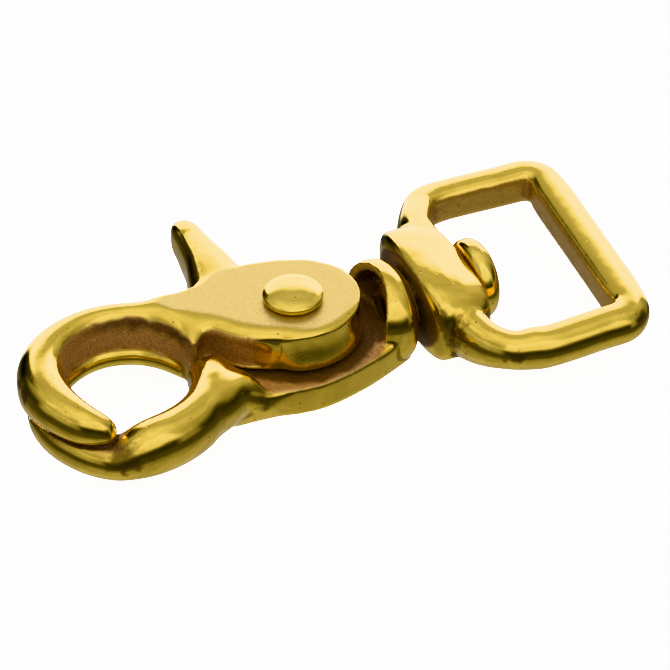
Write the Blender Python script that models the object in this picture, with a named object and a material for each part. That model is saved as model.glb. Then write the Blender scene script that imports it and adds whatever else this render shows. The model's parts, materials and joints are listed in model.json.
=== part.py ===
"""Solid brass trigger snap with a swivelling square eye, 25.4 mm wide inside.

It lies on its flat underside at z = 0. +X runs from the hook to the eye, +Y towards the thumb
lever, and the origin is below the middle of the bounding box. Sizes below are in millimetres,
and plan positions are measured from the pivot rivet's axis.
"""

import math

import bmesh
import bpy
from mathutils import Matrix, Vector

MM = 0.001

# Gaps between pieces
SEAT_GAP = 0.3          # between two pieces that are riveted or rest on each other
PLAY = 0.35             # round a shank that something turns on
TURN_GAP = 0.4          # between the trigger and the body that it swings past

# Snap body: plate under the trigger
PLATE_THICK = 3.8
PLATE_EDGE_ROUND = 0.9
PLATE_LEDGE = 2.3       # how far the plate stands out beside the trigger's round end
NECK_STEP = 1.1         # how much narrower the plate's neck is than the collar, on each side
RECESS_RADIUS = 10.7    # round wall of the recess that the trigger swings in

# Ring of the snap: the hook and the jaw close it together
RING_X = -21.3
RING_Y = -1.85
RING_HOLE_RADIUS = 7.35
HOOK_WIDTH = 5.8        # at its bend; it is narrower beside the shoulder
HOOK_NECK_WIDTH = 5.0
HOOK_HEIGHT = 6.6
HOOK_MIDDLE_Z = 3.9
HOOK_START_DROP = 1.2   # how much lower its top is where it meets the trigger's tooth
HOOK_START_DEG = 2.0
HOOK_END_DEG = -196.0
LAP_START_DEG = -113.0  # the jaw tip lies in the lap from here to the hook's end
LAP_END_DEG = -206.0
LAP_FLOOR_Z = 4.1
LAP_SLOPE = 1.9         # the hook's top comes down this far before the lap
LAP_MARGIN = 3.35       # the lap's step reaches this far past the bars, inside and outside
HOOK_NOSE_ROUND = 1.4
SHOULDER_Y = -2.35      # the hook starts here, against the trigger's tooth
SHOULDER_LOW_Z = 0.3    # the shoulder is a rounded lump that blends the hook into the plate
SHOULDER_HEIGHT = 5.8
SHOULDER_LENGTH = 7.2
SHOULDER_WIDTH = 5.2

# Trigger: plate, jaw and thumb lever in one casting
TRIGGER_THICK = 5.0
TRIGGER_RADIUS = 7.5
TRIGGER_OFFSET = 0.4    # middle of the round end, from the pivot in +X and +Y
TRIGGER_EDGE_ROUND = 1.25
TRIGGER_UNDER_ROUND = 0.7
TOOTH_SPAN = 1.3        # width of the tooth's tip, which closes against the hook's shoulder
TOOTH_DEPTH = 1.55      # from the valley behind the tooth to its tip
JAW_HEIGHT = 7.0
JAW_WIDTH = 5.2
JAW_TIP_DROP = 1.1      # how far the jaw's top slopes down to its tip
JAW_LAP_RISE = 2.0      # how much higher its bar starts where it laps the hook
JAW_TIP_ROUND = 1.2
UNDERCUT_RADIUS = 11.3  # the trigger is thin inside this radius and jaw-high outside it
LEVER_REACH = 20.9      # from the pivot to the lever's tip, along +Y
LEVER_X = -6.0
LEVER_WIDTH = 3.6       # where it starts to round into its tip
LEVER_ROOT_WIDTH = 8.6
LEVER_TIP_ROUND = 3.9

# Pivot rivet
RIVET_HEAD_RADIUS = 3.5
RIVET_HEAD_RISE = 1.05
RIVET_SHANK_RADIUS = 1.8
RIVET_TAIL_RADIUS = 2.9
RIVET_TAIL_THICK = 1.0

# Torsion spring in its pocket under the trigger
SPRING_WIRE = 0.6
SPRING_RADIUS = 3.3
SPRING_TURNS = 2.25
SPRING_PITCH = 0.85

# Swivel: collar on the body, pin, eye
SWIVEL_Y = -0.5
COLLAR_HALF_WIDTH = 6.3
COLLAR_UNDER_SQUARE = 0.45  # its lower half is nearly square, its upper half round
CUP_WALL = 0.8          # between the recess and the bottom of the collar's cup
CUP_PLAY = 0.5          # round the pin's tail
BULKHEAD_THICK = 2.9
PIN_RADIUS = 1.9
PIN_HEAD_RADIUS = 4.9   # the pin's head touches the ground, so this sets the swivel's height
PIN_HEAD_THICK = 3.4
PIN_TAIL_RADIUS = 2.9
PIN_TAIL_THICK = 1.3
PIN_TAIL_CHAMFER = 0.5
GROUND_PLAY = 0.1       # under the collar and the boss
BOSS_GAP = 0.6
BOSS_LENGTH = 6.4
BOSS_HALF_WIDTH = 8.4

# Square eye
STRAP_WIDTH = 25.4
STRAP_PLAY = 0.4
EYE_INSIDE = 13.8       # from the boss to the cross bar
BAR_HEIGHT = 4.6
BAR_WIDTH = 4.4
BAR_FLAT_SHARE = 0.92   # the inner wall is cut flat at this share of the half width
CROSS_BAR_WIDTH = 4.8
SIDE_TAPER = 0.3        # how much each side bar leans in at the cross bar
EYE_CORNER = 3.0        # radius of the bar's centre line at the cross bar's ends
CROSS_BAR_LEAN = 0.6    # its far end is this much further from the boss, its near end nearer
EYE_SHIFT_Y = 0.15      # the eye sits this far off the pin's axis

TRIGGER_BOTTOM_Z = PLATE_THICK + TURN_GAP
TRIGGER_TOP_Z = TRIGGER_BOTTOM_Z + TRIGGER_THICK
RING_EDGE_X = RING_X + RING_HOLE_RADIUS
SWIVEL_Z = PIN_HEAD_RADIUS
BARREL_HALF_HEIGHT = SWIVEL_Z - GROUND_PLAY     # of the collar and of the boss
CUP_RADIUS = PIN_TAIL_RADIUS + CUP_PLAY
COLLAR_FRONT_X = TRIGGER_OFFSET + TRIGGER_RADIUS + TURN_GAP
COLLAR_BACK_X = RECESS_RADIUS + CUP_WALL + BULKHEAD_THICK
BOSS_X = COLLAR_BACK_X + BOSS_GAP
BOSS_BACK_X = BOSS_X + BOSS_LENGTH
CROSS_BAR_X = BOSS_BACK_X + EYE_INSIDE
SIDE_Y = (STRAP_WIDTH + STRAP_PLAY + BAR_WIDTH) / 2


def clear_scene():
    for old in list(bpy.data.objects):
        bpy.data.objects.remove(old, do_unlink=True)


def brass(name, colour, roughness):
    material = bpy.data.materials.new(name)
    material.use_nodes = True
    shader = material.node_tree.nodes["Principled BSDF"]
    shader.inputs["Base Color"].default_value = (*colour, 1)
    shader.inputs["Roughness"].default_value = roughness
    shader.inputs["Metallic"].default_value = 1
    return material


def polar(radius, degrees, x=0.0, y=0.0):
    angle = math.radians(degrees)
    return (x + radius * math.cos(angle), y + radius * math.sin(angle))


def arc(x, y, radius, start, end, count):
    return [polar(radius, start + (end - start) * i / count, x, y) for i in range(count + 1)]


def smooth_path(points, steps):
    """A Catmull-Rom curve through points of the plan, with this many steps between two of them."""
    points = [Vector(p) for p in points]
    last = len(points) - 1
    path = []
    for i in range(last):
        a, b, c, d = (points[min(max(i + k, 0), last)] for k in (-1, 0, 1, 2))
        for step in range(steps):
            t = step / steps
            path.append(0.5 * (2 * b + (c - a) * t + (2 * a - 5 * b + 4 * c - d) * t**2
                               + (3 * b - a - 3 * c + d) * t**3))
    return path + [points[-1]]


def make_object(name, bm):
    bmesh.ops.recalc_face_normals(bm, faces=bm.faces)
    mesh = bpy.data.meshes.new(name)
    bm.to_mesh(mesh)
    bm.free()
    made = bpy.data.objects.new(name, mesh)
    bpy.context.scene.collection.objects.link(made)
    return made


def prism(name, outline, low, high, round_low=0.0, round_high=0.0, segments=3):
    """The outline, extruded from low to high, with its lower and upper edges rounded."""
    bm = bmesh.new()
    floor = bm.faces.new([bm.verts.new((p[0], p[1], low)) for p in outline])
    raised = bmesh.ops.extrude_face_region(bm, geom=[floor])["geom"]
    top = [v for v in raised if isinstance(v, bmesh.types.BMVert)]
    bmesh.ops.translate(bm, verts=top, vec=(0, 0, high - low))
    for level, size in ((low, round_low), (high, round_high)):
        if size:
            rim = [e for e in bm.edges if all(abs(v.co.z - level) < 1e-6 for v in e.verts)]
            bmesh.ops.bevel(bm, geom=rim, offset=size, segments=segments, profile=0.5,
                            affect="EDGES", material=-1, clamp_overlap=True)
    return make_object(name, bm)


def section(half_width, half_height, inner_square, outer_square, count, flat=1.0):
    """An oval section. Its inner and outer halves are elliptical at 1, and squarer below it.

    The inner side is cut flat at this share of the half width.
    """
    points = []
    for i in range(count):
        angle = 2 * math.pi * (i + 0.5) / count
        c, s = math.cos(angle), math.sin(angle)
        square = outer_square if c > 0 else inner_square
        across = max(math.copysign(abs(c) ** square, c), -flat)
        points.append((across * half_width, math.copysign(abs(s) ** square, s) * half_height))
    return points


def rod(name, stations, count=20, inner_square=1.0, outer_square=1.0, flat=1.0, closed=False):
    """A bar through stations of (centre, half width across the plan, half height).

    Its outer side is on the right of its path, seen from above.
    """
    bm = bmesh.new()
    rings = []
    for i, (centre, half_width, half_height) in enumerate(stations):
        before = stations[i - 1 if closed else max(i - 1, 0)][0]
        after = stations[(i + 1) % len(stations) if closed else min(i + 1, len(stations) - 1)][0]
        along = (Vector(after) - Vector(before)).normalized()
        across = along.cross(Vector((0, 0, 1))).normalized()
        upward = across.cross(along).normalized()
        oval = section(half_width, half_height, inner_square, outer_square, count, flat)
        rings.append([bm.verts.new(Vector(centre) + across * u + upward * v) for u, v in oval])
    following = rings[1:] + rings[:1] if closed else rings[1:]
    for ring, after in zip(rings, following):
        for i in range(count):
            j = (i + 1) % count
            bm.faces.new((ring[i], ring[j], after[j], after[i]))
    if not closed:
        bm.faces.new(rings[0])
        bm.faces.new(rings[-1])
    return make_object(name, bm)


def rounded_end(stations, length, steps=3):
    """Adds shrinking stations after the last one, which round the bar's end over this length."""
    centre, half_width, half_height = stations[-1]
    outward = (Vector(centre) - Vector(stations[-2][0])).normalized()
    result = list(stations)
    for step in range(1, steps + 1):
        angle = math.radians(80) * step / steps
        result.append((Vector(centre) + outward * length * math.sin(angle),
                       half_width * math.cos(angle), half_height * math.cos(angle)))
    return result


def turned(name, profile, axis="Z", centre=(0, 0, 0), stretch=(1.0, 1.0), count=32,
           upper_square=1.0, lower_square=1.0):
    """A turned solid: profile holds (place along the axis, radius), from one end to the other.

    stretch makes it oval, and a square below 1 makes that half of it squarer.
    """
    bm = bmesh.new()
    rings = []
    for place, radius in profile:
        ring = []
        for i in range(count):
            angle = 2 * math.pi * (i + 0.5) / count
            c, s = math.cos(angle), math.sin(angle)
            square = upper_square if s > 0 else lower_square
            ring.append(bm.verts.new((radius * math.copysign(abs(c) ** square, c) * stretch[0],
                                      radius * math.copysign(abs(s) ** square, s) * stretch[1],
                                      place)))
        rings.append(ring)
    for ring, following in zip(rings, rings[1:]):
        for i in range(count):
            j = (i + 1) % count
            bm.faces.new((ring[i], ring[j], following[j], following[i]))
    bm.faces.new(rings[0])
    bm.faces.new(rings[-1])
    if axis == "X":
        # local X becomes Y, local Y becomes Z, and local Z becomes X
        bm.transform(Matrix(((0, 0, 1, 0), (1, 0, 0, 0), (0, 1, 0, 0), (0, 0, 0, 1))))
    bm.transform(Matrix.Translation(centre))
    return make_object(name, bm)


def cylinder(name, radius, low, high, axis="Z", centre=(0, 0, 0), count=32):
    return turned(name, [(low, radius), (high, radius)], axis, centre, count=count)


def combine(target, tool, operation):
    """Joins the tool to the target, or cuts it away, and removes the tool."""
    modifier = target.modifiers.new(operation, "BOOLEAN")
    modifier.operation = operation
    modifier.object = tool
    modifier.solver = "EXACT"
    graph = bpy.context.evaluated_depsgraph_get()
    graph.update()
    result = bpy.data.meshes.new_from_object(target.evaluated_get(graph))
    target.modifiers.clear()
    target.data = result
    bpy.data.objects.remove(tool, do_unlink=True)
    return target


def joined(target, tool):
    return combine(target, tool, "UNION")


def cut(target, tool):
    return combine(target, tool, "DIFFERENCE")


def finish(piece, material, origin=(0, 0, 0)):
    """Gives the piece its material, and puts its origin on this point of the plan."""
    bm = bmesh.new()
    bm.from_mesh(piece.data)
    bmesh.ops.remove_doubles(bm, verts=bm.verts, dist=0.004)
    bmesh.ops.dissolve_degenerate(bm, edges=bm.edges, dist=0.004)
    bmesh.ops.triangulate(bm, faces=bm.faces)
    bm.transform(Matrix.Translation(-Vector(origin)))
    bm.transform(Matrix.Scale(MM, 4))
    bm.to_mesh(piece.data)
    bm.free()
    piece.data.materials.clear()
    piece.data.materials.append(material)
    piece.data.shade_smooth()
    piece.data.set_sharp_from_angle(angle=math.radians(35))
    piece.location = Vector(origin) * MM
    return piece


def centre(pieces):
    """Moves the pieces together, so that the origin is below the middle of their bounding box."""
    corners = [piece.location + v.co for piece in pieces for v in piece.data.vertices]
    low = Vector([min(corner[i] for corner in corners) for i in range(3)])
    high = Vector([max(corner[i] for corner in corners) for i in range(3)])
    for piece in pieces:
        piece.location -= Vector(((low.x + high.x) / 2, (low.y + high.y) / 2, low.z))


# ---------------------------------------------------------------- snap body

def hook_stations():
    """The hook's bar, from the shoulder by the trigger round to its nose under the jaw."""
    low = HOOK_MIDDLE_Z - HOOK_HEIGHT / 2
    high = HOOK_MIDDLE_Z + HOOK_HEIGHT / 2
    # degrees round the ring, width, and how much lower the top is than the hook's full height
    bars = ((HOOK_START_DEG, HOOK_NECK_WIDTH + 0.6, HOOK_START_DROP),
            (-8, HOOK_NECK_WIDTH + 0.4, HOOK_START_DROP * 0.4),
            (-20, HOOK_NECK_WIDTH + 0.2, HOOK_START_DROP * 0.1),
            (-32, HOOK_NECK_WIDTH, 0), (-44, HOOK_NECK_WIDTH, 0), (-56, HOOK_NECK_WIDTH, 0),
            (-68, HOOK_NECK_WIDTH + 0.05, 0), (-79, HOOK_NECK_WIDTH + 0.2, 0),
            (-90, (HOOK_NECK_WIDTH + HOOK_WIDTH) / 2, 0), (-98, HOOK_WIDTH - 0.1, LAP_SLOPE * 0.12),
            (-104, HOOK_WIDTH, LAP_SLOPE * 0.4), (-110, HOOK_WIDTH, LAP_SLOPE * 0.8),
            (-117, HOOK_WIDTH, LAP_SLOPE), (-125, HOOK_WIDTH - 0.1, LAP_SLOPE),
            (-134, HOOK_WIDTH - 0.3, LAP_SLOPE), (-145, JAW_WIDTH, LAP_SLOPE),
            (-157, JAW_WIDTH - 0.3, LAP_SLOPE), (-170, JAW_WIDTH - 0.5, LAP_SLOPE),
            (-183, JAW_WIDTH - 0.7, LAP_SLOPE), (HOOK_END_DEG, JAW_WIDTH - 1, LAP_SLOPE))
    stations = []
    for degrees, width, drop in bars:
        x, y = polar(RING_HOLE_RADIUS + width / 2, degrees, RING_X, RING_Y)
        stations.append(((x, y, (low + high - drop) / 2), width / 2, (high - drop - low) / 2))
    return rounded_end(stations, HOOK_NOSE_ROUND)


def plate_outline():
    """The plate under the trigger, and its neck to the collar."""
    side = TRIGGER_RADIUS - TRIGGER_OFFSET + PLATE_LEDGE
    neck = COLLAR_HALF_WIDTH - NECK_STEP
    neck_x = COLLAR_BACK_X - BULKHEAD_THICK + 1
    corner_x = RING_EDGE_X + 1.45
    near = [(corner_x, -side + 0.8), (-9.0, -side + 0.7), (-4.6, -side + 0.1), (-0.7, -side - 0.3),
            (2.8, -side + 0.2), (7.0, -side + 1.4), (neck_x - 2.5, SWIVEL_Y - neck - 0.9),
            (neck_x, SWIVEL_Y - neck)]
    far = [(neck_x, SWIVEL_Y + neck + 0.3), (neck_x - 4, SWIVEL_Y + neck + 0.7),
           (neck_x - 6.5, SWIVEL_Y + neck + 1.0)]
    swing = arc(0, 0, UNDERCUT_RADIUS - TURN_GAP, 140, 198, 8)
    return (smooth_path(near, 3) + smooth_path(far, 2)
            + [(2.0, TRIGGER_RADIUS - 0.5), (-3.5, TRIGGER_RADIUS + 0.1)] + swing
            + [(corner_x - 0.1, SHOULDER_Y - 3.15)])


def along_axis(start, length, shares):
    """A turned profile from shares of the length and of the full radius."""
    return [(start + length * place, share) for place, share in shares]


def make_body(material):
    high = TRIGGER_TOP_Z + 2
    body = rod("body", hook_stations(), 20, 0.85, 0.95)
    # The shoulder blends the hook into the plate
    lump = along_axis(SHOULDER_LOW_Z, SHOULDER_HEIGHT,
                      ((0, 0.1), (0.05, 0.45), (0.17, 0.76), (0.35, 0.95), (0.5, 1), (0.65, 0.95),
                       (0.83, 0.76), (0.95, 0.45), (1, 0.1)))
    middle = (RING_EDGE_X + 1.45 + SHOULDER_WIDTH / 2,
              -(TRIGGER_RADIUS - TRIGGER_OFFSET + PLATE_LEDGE) + 2.8, 0)
    joined(body, turned("shoulder", lump, "Z", middle, (SHOULDER_LENGTH / 2, SHOULDER_WIDTH / 2),
                        20))
    # The hook's bar stops flat at the trigger's tooth
    cut(body, prism("hook_end", [(-20, SHOULDER_Y), (0, SHOULDER_Y), (0, 12), (-20, 12)], -1, high))
    joined(body, prism("plate", plate_outline(), 0, PLATE_THICK, PLATE_EDGE_ROUND, 0, 3))
    cut(body, cylinder("recess", RECESS_RADIUS, PLATE_THICK, high, count=72))
    cut(body, prism("lap", lap_outline(), LAP_FLOOR_Z, high))
    barrel = along_axis(COLLAR_FRONT_X, COLLAR_BACK_X - COLLAR_FRONT_X,
                        ((0, 0.72), (0.15, 0.83), (0.35, 0.93), (0.55, 0.99), (0.72, 1),
                         (0.86, 0.97), (0.95, 0.89), (1, 0.79)))
    joined(body, turned("collar", barrel, "X", (0, SWIVEL_Y, SWIVEL_Z),
                        (COLLAR_HALF_WIDTH, BARREL_HALF_HEIGHT), 32, 1, COLLAR_UNDER_SQUARE))
    # Cup for the pin's tail, and the pin's hole through the bulkhead
    cup_back = COLLAR_BACK_X - BULKHEAD_THICK
    cut(body, cylinder("cup", CUP_RADIUS, COLLAR_FRONT_X - 1.5, cup_back, "X",
                       (0, SWIVEL_Y, SWIVEL_Z), 28))
    cut(body, cylinder("pin_hole", PIN_RADIUS + SEAT_GAP, cup_back - 1, COLLAR_BACK_X + 1, "X",
                       (0, SWIVEL_Y, SWIVEL_Z), 24))
    # Rivet hole, and the counterbore for the rivet's tail
    cut(body, cylinder("rivet_hole", RIVET_SHANK_RADIUS + SEAT_GAP, -1, PLATE_THICK + 1, count=24))
    cut(body, cylinder("counterbore", RIVET_TAIL_RADIUS + SEAT_GAP, -1,
                       RIVET_TAIL_THICK + SEAT_GAP, count=28))
    return finish(body, material)


def lap_outline():
    """Plan of the step where the jaw's tip lies over the hook's nose."""
    outer_radius = RING_HOLE_RADIUS + HOOK_WIDTH + 2 * LAP_MARGIN
    outer = arc(RING_X, RING_Y, outer_radius, LAP_START_DEG, LAP_END_DEG, 7)
    inner = arc(RING_X, RING_Y, RING_HOLE_RADIUS - LAP_MARGIN, LAP_END_DEG, LAP_START_DEG, 4)
    return outer + inner


# ---------------------------------------------------------------- trigger

def trigger_outline():
    """Plan of the trigger's plate, with the tooth that closes against the hook's shoulder."""
    tip_x, tip_y = RING_EDGE_X + 0.65, SHOULDER_Y + TURN_GAP
    valley_x, valley_y = tip_x + TOOTH_SPAN + 1.1, tip_y + TOOTH_DEPTH
    end_top = TRIGGER_OFFSET + TRIGGER_RADIUS
    ring_top = RING_Y + RING_HOLE_RADIUS
    ring = arc(RING_X, RING_Y, RING_HOLE_RADIUS, 50, 5, 8)
    tooth = [(tip_x - 0.6, tip_y + 0.6), (tip_x, tip_y), (tip_x + TOOTH_SPAN / 2, tip_y),
             (valley_x - 0.9, valley_y - 0.6), (valley_x, valley_y),
             polar(RECESS_RADIUS - 0.55, -174), polar(RECESS_RADIUS - 1.2, -165),
             polar(RECESS_RADIUS - 1.9, -152)]
    end = arc(TRIGGER_OFFSET, TRIGGER_OFFSET, TRIGGER_RADIUS, -140, 95, 26)
    far = smooth_path([end[-1], (-3.5, end_top + 0.3), (-8.0, end_top - 0.6),
                       (-12.0, ring_top + 1.7), (-15.8, ring_top + 2.0)], 3)[1:]
    return ring + tooth + end + far


def jaw_stations():
    """The jaw's bar, from its root in the plate round to its tip over the hook."""
    # degrees round the ring, the shares of the jaw's width that it starts and ends at, and how
    # much of the tip's slope its top has come down
    bars = ((32, 0.0, 0.66, 0), (50, 0.0, 0.78, 0), (70, 0.0, 0.85, 0), (90, 0.0, 0.84, 0),
            (110, 0.0, 0.88, 0), (130, 0.0, 0.94, 0), (150, 0.0, 1.0, 0), (170, 0.0, 1.0, 0),
            (190, 0.01, 0.98, 0), (205, 0.04, 0.95, 0.1), (218, 0.08, 0.92, 0.3),
            (229, 0.14, 0.83, 0.75), (234, 0.19, 0.77, 1.0))
    stations = []
    for degrees, start, end, drop in bars:
        high = TRIGGER_TOP_Z - JAW_TIP_DROP * drop
        # Where it laps the hook the jaw's bar is round, so it starts higher
        low = TRIGGER_TOP_Z - JAW_HEIGHT + JAW_LAP_RISE * min(max((degrees - 150) / 50, 0), 1)
        x, y = polar(RING_HOLE_RADIUS + JAW_WIDTH * (start + end) / 2, degrees, RING_X, RING_Y)
        stations.append(((x, y, (low + high) / 2), JAW_WIDTH * (end - start) / 2,
                         (high - low) / 2))
    return rounded_end(stations, JAW_TIP_ROUND)


def lever_stations():
    """The thumb lever, a horn that narrows from the plate to its rounded tip."""
    low, high = TRIGGER_BOTTOM_Z - 0.6, TRIGGER_TOP_Z - 0.1
    middle, half = (low + high) / 2, (high - low) / 2
    root, end = LEVER_ROOT_WIDTH / 2, LEVER_WIDTH / 2
    end_y = LEVER_REACH - LEVER_TIP_ROUND
    stations = [((LEVER_X + 0.6, end_y - 12.5, middle), root, half),
                ((LEVER_X + 0.5, end_y - 10.0, middle), root - 0.3, half),
                ((LEVER_X + 0.4, end_y - 7.5, middle), (root * 2 + end) / 3 - 0.1, half),
                ((LEVER_X + 0.4, end_y - 5.0, middle), (root + end * 2) / 3, half * 0.97),
                ((LEVER_X + 0.3, end_y - 2.5, middle), end + 0.35, half * 0.9),
                ((LEVER_X + 0.2, end_y, middle + 0.2), end, half * 0.78)]
    return rounded_end(stations, LEVER_TIP_ROUND)


def make_trigger(material):
    trigger = prism("trigger", trigger_outline(), TRIGGER_TOP_Z - JAW_HEIGHT, TRIGGER_TOP_Z,
                    TRIGGER_UNDER_ROUND, TRIGGER_EDGE_ROUND, 3)
    joined(trigger, rod("jaw", jaw_stations(), 20, 0.7, 0.7))
    joined(trigger, rod("lever", lever_stations(), 16, 0.85, 0.85))
    # Over the plate the trigger is thinner than its jaw
    cut(trigger, cylinder("underside", UNDERCUT_RADIUS, -1, TRIGGER_BOTTOM_Z, count=72))
    cut(trigger, prism("jaw_lap", lap_outline(), -1, LAP_FLOOR_Z + TURN_GAP))
    cut(trigger, cylinder("rivet_hole", RIVET_SHANK_RADIUS + PLAY, 0, TRIGGER_TOP_Z + 2, count=24))
    pocket_top = TRIGGER_BOTTOM_Z + SPRING_TURNS * SPRING_PITCH + 2 * SPRING_WIRE
    cut(trigger, cylinder("spring_pocket", SPRING_RADIUS + SPRING_WIRE / 2 + SEAT_GAP,
                          0, pocket_top, count=32))
    return finish(trigger, material)


# ---------------------------------------------------------------- rivet and spring

def make_pivot_rivet(material):
    head_base = TRIGGER_TOP_Z + SEAT_GAP
    dome = [(head_base + RIVET_HEAD_RISE * (0.25 + 0.75 * math.sin(math.radians(a))),
             RIVET_HEAD_RADIUS * math.cos(math.radians(a))) for a in (0, 20, 40, 58, 74, 86)]
    profile = ([(0.0, RIVET_TAIL_RADIUS), (RIVET_TAIL_THICK, RIVET_TAIL_RADIUS),
                (RIVET_TAIL_THICK, RIVET_SHANK_RADIUS), (head_base, RIVET_SHANK_RADIUS),
                (head_base, RIVET_HEAD_RADIUS - 0.15)] + dome)
    return finish(turned("pivot_rivet", profile, count=32), material)


def make_spring(material):
    """The torsion spring's coils, round the rivet in the trigger's pocket."""
    start_z = PLATE_THICK + SEAT_GAP + SPRING_WIRE / 2
    steps = round(SPRING_TURNS * 20)
    coil = []
    for i in range(steps + 1):
        turn = 2 * math.pi * SPRING_TURNS * i / steps
        coil.append(Vector((SPRING_RADIUS * math.cos(turn), SPRING_RADIUS * math.sin(turn),
                            start_z + SPRING_PITCH * SPRING_TURNS * i / steps)))
    half = SPRING_WIRE / 2
    return finish(rod("trigger_spring", [(p, half, half) for p in coil], 8), material)


# ---------------------------------------------------------------- swivel pin and eye

def make_swivel_pin(material):
    head_base = BOSS_BACK_X + SEAT_GAP
    head = [(head_base + PIN_HEAD_THICK * place, PIN_HEAD_RADIUS * share)
            for place, share in ((0, 0.9), (0.22, 1), (0.5, 1), (0.74, 0.88), (0.9, 0.66),
                                 (0.98, 0.36), (1, 0.05))]
    tail_face = COLLAR_BACK_X - BULKHEAD_THICK - SEAT_GAP
    profile = [(tail_face - PIN_TAIL_THICK, PIN_TAIL_RADIUS - PIN_TAIL_CHAMFER),
               (tail_face - PIN_TAIL_THICK + PIN_TAIL_CHAMFER, PIN_TAIL_RADIUS),
               (tail_face, PIN_TAIL_RADIUS), (tail_face, PIN_RADIUS),
               (head_base, PIN_RADIUS)] + head
    return finish(turned("swivel_pin", profile, "X", (0, SWIVEL_Y, SWIVEL_Z), count=32), material)


def eye_side(sign):
    """Stations of one half of the eye, from beside the pin's hole to the cross bar.

    sign is 1 for the far half and -1 for the near one.
    """
    boss_x = BOSS_X + BOSS_LENGTH / 2
    boss = BARREL_HALF_HEIGHT
    width, height = BAR_WIDTH / 2, BAR_HEIGHT / 2
    back = CROSS_BAR_X + CROSS_BAR_WIDTH / 2
    end_y = SIDE_Y - SIDE_TAPER
    # The side bars grow out of the boss in an even sweep
    stations = [
        ((boss_x, BOSS_HALF_WIDTH * 0.45), 2.8, boss * 0.8),
        ((boss_x + 0.2, SIDE_Y - 8.1), 2.6, boss * 0.76),
        ((boss_x + 0.7, SIDE_Y - 5.5), width + 0.2, (boss + height) * 0.48),
        ((boss_x + 1.7, SIDE_Y - 3.2), width + 0.1, (boss + height) * 0.42),
        ((boss_x + 3.2, SIDE_Y - 1.4), width + 0.05, height + 0.3),
        ((boss_x + 5.3, SIDE_Y - 0.3), width, height + 0.1),
        ((boss_x + 7.8, SIDE_Y), width, height),
        ((back - EYE_CORNER - 2.5, end_y + 0.05), width, height),
    ]
    for place in arc(back - EYE_CORNER, end_y - EYE_CORNER, EYE_CORNER, 90, 0, 5):
        stations.append((place, width, height))
    stations.append(((back, end_y - EYE_CORNER - 2.5), CROSS_BAR_WIDTH / 2, height))
    result = []
    for (x, y), half_width, half_height in stations:
        lean = sign * CROSS_BAR_LEAN * max(x - back + EYE_INSIDE, 0) / EYE_INSIDE * y / end_y
        result.append(((x + lean, y * sign, 0), half_width, half_height))
    return result


def make_eye(material):
    eye = rod("swivel_eye", eye_side(-1) + eye_side(1)[::-1], 20, 0.7, 0.95, BAR_FLAT_SHARE,
              closed=True)
    barrel = along_axis(BOSS_X, BOSS_LENGTH, ((0, 0.8), (0.05, 0.88), (0.15, 0.96), (0.25, 1),
                                              (0.45, 1), (0.7, 0.96), (0.87, 0.88), (1, 0.77)))
    joined(eye, turned("boss", barrel, "X", (0, 0, 0), (BOSS_HALF_WIDTH, BARREL_HALF_HEIGHT), 36,
                       0.8, 0.5))
    eye.data.transform(Matrix.Translation((0, SWIVEL_Y + EYE_SHIFT_Y, SWIVEL_Z)))
    cut(eye, cylinder("pin_hole", PIN_RADIUS + PLAY, BOSS_X - 2, BOSS_BACK_X + 2, "X",
                      (0, SWIVEL_Y, SWIVEL_Z), 24))
    return finish(eye, material, origin=(BOSS_X, SWIVEL_Y, SWIVEL_Z))


def main():
    clear_scene()
    polished = brass("polished_brass", (0.78, 0.57, 0.17), 0.22)
    rubbed = brass("rubbed_brass", (0.72, 0.56, 0.26), 0.4)
    steel = brass("spring_steel", (0.45, 0.44, 0.42), 0.4)
    centre([make_body(polished), make_trigger(rubbed), make_pivot_rivet(polished),
            make_spring(steel), make_swivel_pin(polished), make_eye(polished)])


main()
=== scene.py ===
import json
import math

import bmesh
import bpy
import numpy as np
from mathutils import Matrix, Vector, noise


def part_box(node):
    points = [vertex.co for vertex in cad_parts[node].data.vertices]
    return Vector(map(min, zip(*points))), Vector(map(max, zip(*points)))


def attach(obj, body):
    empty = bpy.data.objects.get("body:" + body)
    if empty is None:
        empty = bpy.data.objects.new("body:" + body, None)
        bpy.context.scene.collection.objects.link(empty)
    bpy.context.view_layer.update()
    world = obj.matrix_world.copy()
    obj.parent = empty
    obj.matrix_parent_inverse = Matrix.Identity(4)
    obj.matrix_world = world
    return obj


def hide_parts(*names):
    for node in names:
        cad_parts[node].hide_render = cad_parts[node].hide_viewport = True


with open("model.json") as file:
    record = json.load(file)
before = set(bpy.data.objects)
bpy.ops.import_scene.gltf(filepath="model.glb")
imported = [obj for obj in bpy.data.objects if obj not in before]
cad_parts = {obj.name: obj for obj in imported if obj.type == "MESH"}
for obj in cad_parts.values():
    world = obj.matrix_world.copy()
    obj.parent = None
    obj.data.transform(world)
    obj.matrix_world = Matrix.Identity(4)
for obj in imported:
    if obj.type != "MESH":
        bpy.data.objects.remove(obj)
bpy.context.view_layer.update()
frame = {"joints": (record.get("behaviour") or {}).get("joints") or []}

# Shapes are made in millimetres from the pivot rivet's axis, and placed in metres at the end.
MM = 0.001
PIVOT = Vector(next(j for j in frame["joints"] if j["name"] == "trigger_pivot")["pos_m"])
PLACE = Matrix.Translation((PIVOT.x, PIVOT.y, 0)) @ Matrix.Scale(MM, 4)
SWIVEL = Vector(next(j for j in frame["joints"] if j["name"] == "swivel")["pos_m"]) / MM
SWIVEL_Y = SWIVEL.y - PIVOT.y / MM
SWIVEL_Z = SWIVEL.z
SWIVEL_AXIS = (0, SWIVEL_Y, SWIVEL_Z)

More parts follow.
